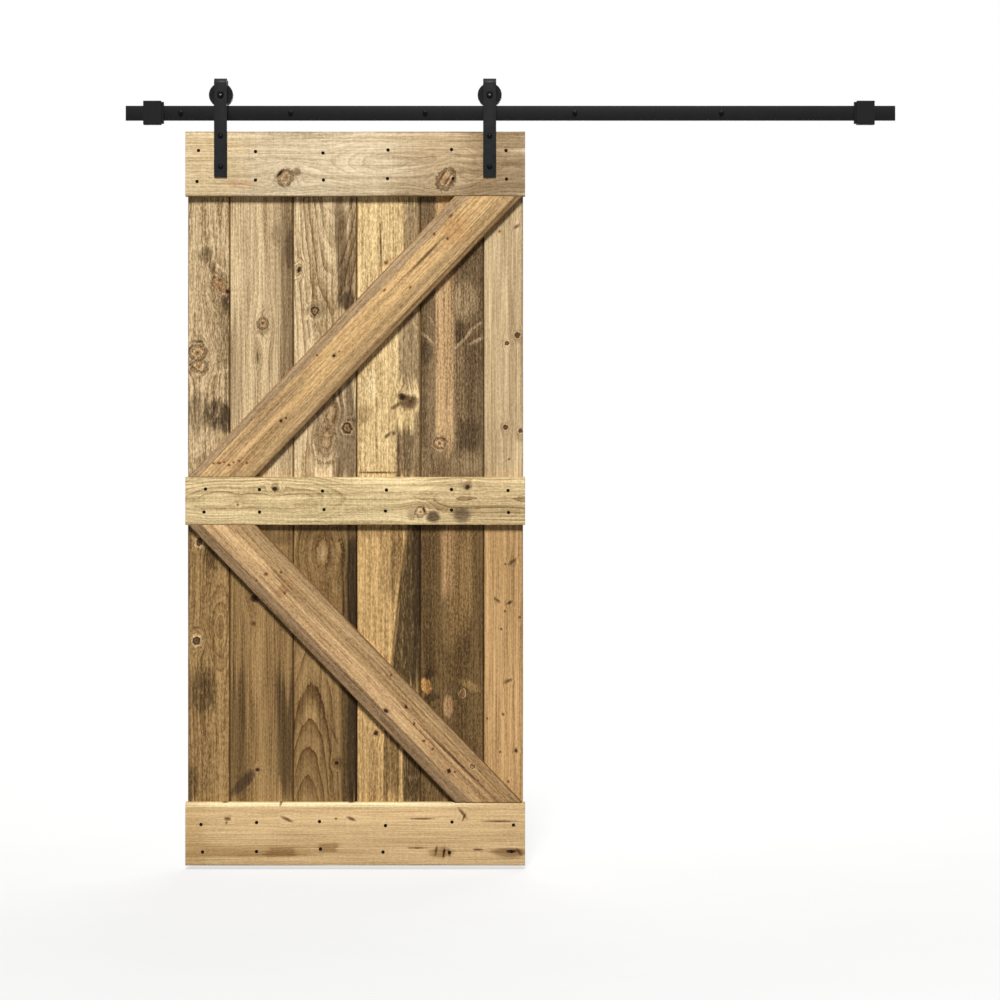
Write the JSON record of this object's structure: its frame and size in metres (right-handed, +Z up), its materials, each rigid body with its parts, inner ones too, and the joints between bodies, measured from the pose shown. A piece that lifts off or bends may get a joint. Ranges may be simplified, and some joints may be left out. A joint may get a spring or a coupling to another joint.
{
  "type": "sliding barn door",
  "caption": "Sliding plank barn door with rails and diagonal braces, hung by strap hangers and grooved wheels from a flat wall track with standoffs and end stops.",
  "frame": {"origin": "centre of the middle standoff's back face, on the wall", "axes": "+Z up, +X to the right along the track as seen from the front, +Y into the wall; the front of the door faces -Y"},
  "size_m": [2.241, 0.066, 2.2893],
  "materials": {
    "board_wood": "matte",
    "rail_wood": "matte",
    "brace_wood": "matte",
    "black_steel": "matte",
    "wheel_steel": "satin",
    "buffer_rubber": "matte"
  },
  "bodies": {
    "track": {"track": "black_steel", "standoff_1": "black_steel", "standoff_2": "black_steel", "standoff_3": "black_steel", "standoff_4": "black_steel", "standoff_5": "black_steel", "left_stop": "black_steel", "left_stop_buffer": "buffer_rubber", "right_stop": "black_steel", "right_stop_buffer": "buffer_rubber"},
    "leaf": {"board_1": "board_wood", "board_2": "board_wood", "board_3": "board_wood", "board_4": "board_wood", "board_5": "board_wood", "board_6": "board_wood", "top_rail": "rail_wood", "middle_rail": "rail_wood", "bottom_rail": "rail_wood", "upper_brace": "brace_wood", "lower_brace": "brace_wood", "left_strap": "black_steel", "left_wheel_spacers": "black_steel", "left_axle_bolt": "black_steel", "left_axle_nut": "black_steel", "left_hanger_bolts": "black_steel", "left_hanger_nuts": "black_steel", "right_strap": "black_steel", "right_wheel_spacers": "black_steel", "right_axle_bolt": "black_steel", "right_axle_nut": "black_steel", "right_hanger_bolts": "black_steel", "right_hanger_nuts": "black_steel"},
    "left_wheel": {"left_wheel": "wheel_steel"},
    "right_wheel": {"right_wheel": "wheel_steel"}
  },
  "joints": [
    {"name": "door_slide", "type": "slide", "parent": "track", "child": "leaf", "axis": [1, 0, 0], "range_m": [-0.133, 1.028]},
    {"name": "left_wheel_spin", "type": "hinge", "parent": "leaf", "child": "left_wheel", "pos_m": [-0.594, -0.041, 0.0523], "axis": [0, 1, 0], "continuous": true},
    {"name": "right_wheel_spin", "type": "hinge", "parent": "leaf", "child": "right_wheel", "pos_m": [0.188, -0.041, 0.0523], "axis": [0, 1, 0], "continuous": true}
  ],
  "couplings": [
    {"joint": "left_wheel_spin", "follows": "door_slide", "rad_per_m": 32.468},
    {"joint": "right_wheel_spin", "follows": "door_slide", "rad_per_m": 32.468}
  ]
}
